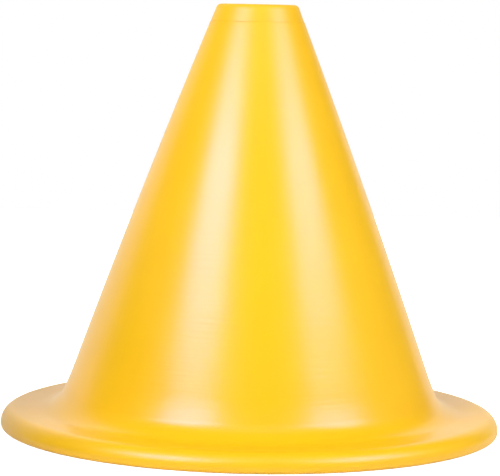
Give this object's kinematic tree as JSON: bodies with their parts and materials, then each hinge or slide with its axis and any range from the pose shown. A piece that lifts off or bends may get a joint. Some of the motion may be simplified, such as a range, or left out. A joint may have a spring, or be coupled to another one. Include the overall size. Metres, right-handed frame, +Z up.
{
  "type": "sports marker cone",
  "caption": "Hollow plastic marker cone with a wide round brim and a rolled rim, open underneath for nesting, and a collar snapped into the tip that takes a pole.",
  "frame": {"origin": "on the ground, at the middle of the brim", "axes": "+Z up the cone's axis, from the brim to the tip; X and Y are alike because the cone is round"},
  "size_m": [0.2, 0.2, 0.17],
  "materials": {
    "shell_plastic": "satin, moulded, yellow all through",
    "collar_plastic": "satin, moulded, yellow all through"
  },
  "bodies": {
    "root": {"cone_shell": "shell_plastic", "tip_collar": "collar_plastic"}
  },
  "joints": []
}
